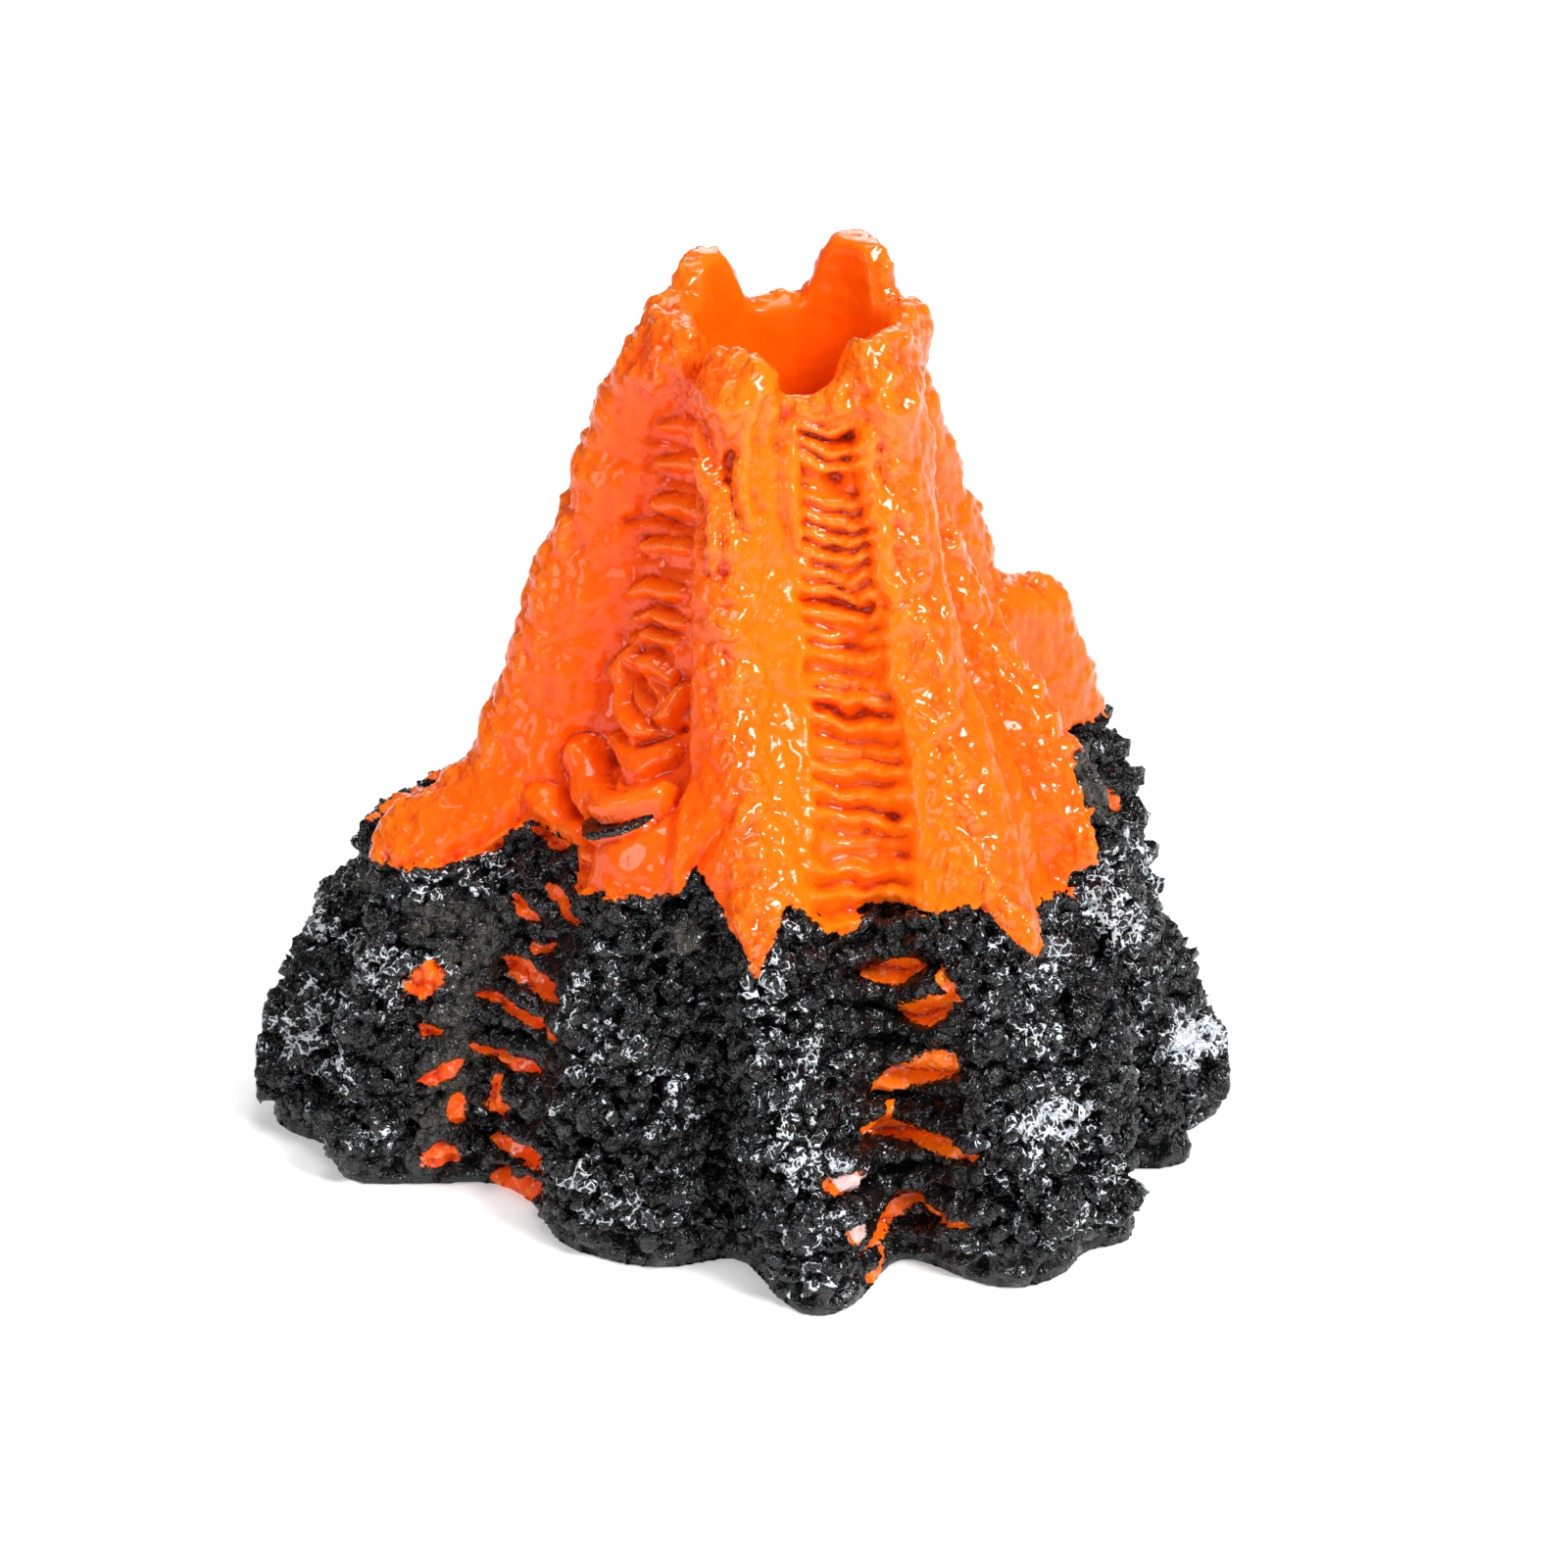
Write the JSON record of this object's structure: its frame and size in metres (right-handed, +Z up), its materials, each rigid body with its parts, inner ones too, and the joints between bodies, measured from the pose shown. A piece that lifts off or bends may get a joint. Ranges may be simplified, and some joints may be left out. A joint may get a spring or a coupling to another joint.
{
  "type": "bubbling ornament",
  "caption": "Hollow cast volcano ornament over an air diffuser; air rises through the open crater, fed by an airline with check and control valves.",
  "frame": {"origin": "on the tank floor, on the vent's axis: the centre of the diffuser dish's flat underside", "axes": "+Z up through the vent and the crater; -Y towards the front of the volcano; +Y along the airline to its free end; +X to the right seen from the front"},
  "size_m": [0.1392, 0.1815, 0.1233],
  "materials": {
    "painted_resin": "glossy orange enamel over a matt black rock base",
    "black_abs": "satin",
    "steel_plate": "brushed",
    "sintered_stone": "rough, porous",
    "black_rubber": "matt",
    "clear_tube": "clear flexible PVC",
    "clear_acrylic": "clear, polished",
    "blue_acrylic": "polished",
    "silicone": "matt",
    "grey_acetal": "satin",
    "white_acetal": "satin",
    "red_abs": "satin",
    "soft_vinyl": "soft, translucent"
  },
  "bodies": {
    "bubbler": {"diffuser_dish": "black_abs", "sinker_weight": "steel_plate", "diffuser_stone": "sintered_stone", "stone_gasket": "black_rubber", "short_airline": "clear_tube", "check_valve_outlet": "clear_acrylic", "check_valve_inlet": "blue_acrylic", "link_airline": "clear_tube", "valve_body": "grey_acetal", "supply_airline": "clear_tube", "line_clip": "clear_acrylic", "line_suction_cup": "soft_vinyl"},
    "shell": {"volcano_shell": "painted_resin"},
    "lever": {"valve_lever": "red_abs", "valve_plug": "white_acetal", "plug_o_ring": "black_rubber"},
    "check_disc": {"check_valve_disc": "silicone"}
  },
  "joints": [
    {"name": "shell_lift", "type": "slide", "parent": "bubbler", "child": "shell", "axis": [0, 0, 1], "range_m": [0, 0.14]},
    {"name": "air_control", "type": "hinge", "parent": "bubbler", "child": "lever", "pos_m": [0, 0.078, 0.0185], "axis": [0, 0, 1], "range_deg": [0, 90]},
    {"name": "check_disc_lift", "type": "slide", "parent": "bubbler", "child": "check_disc", "axis": [0, -1, 0], "range_m": [0, 0.0009]}
  ]
}
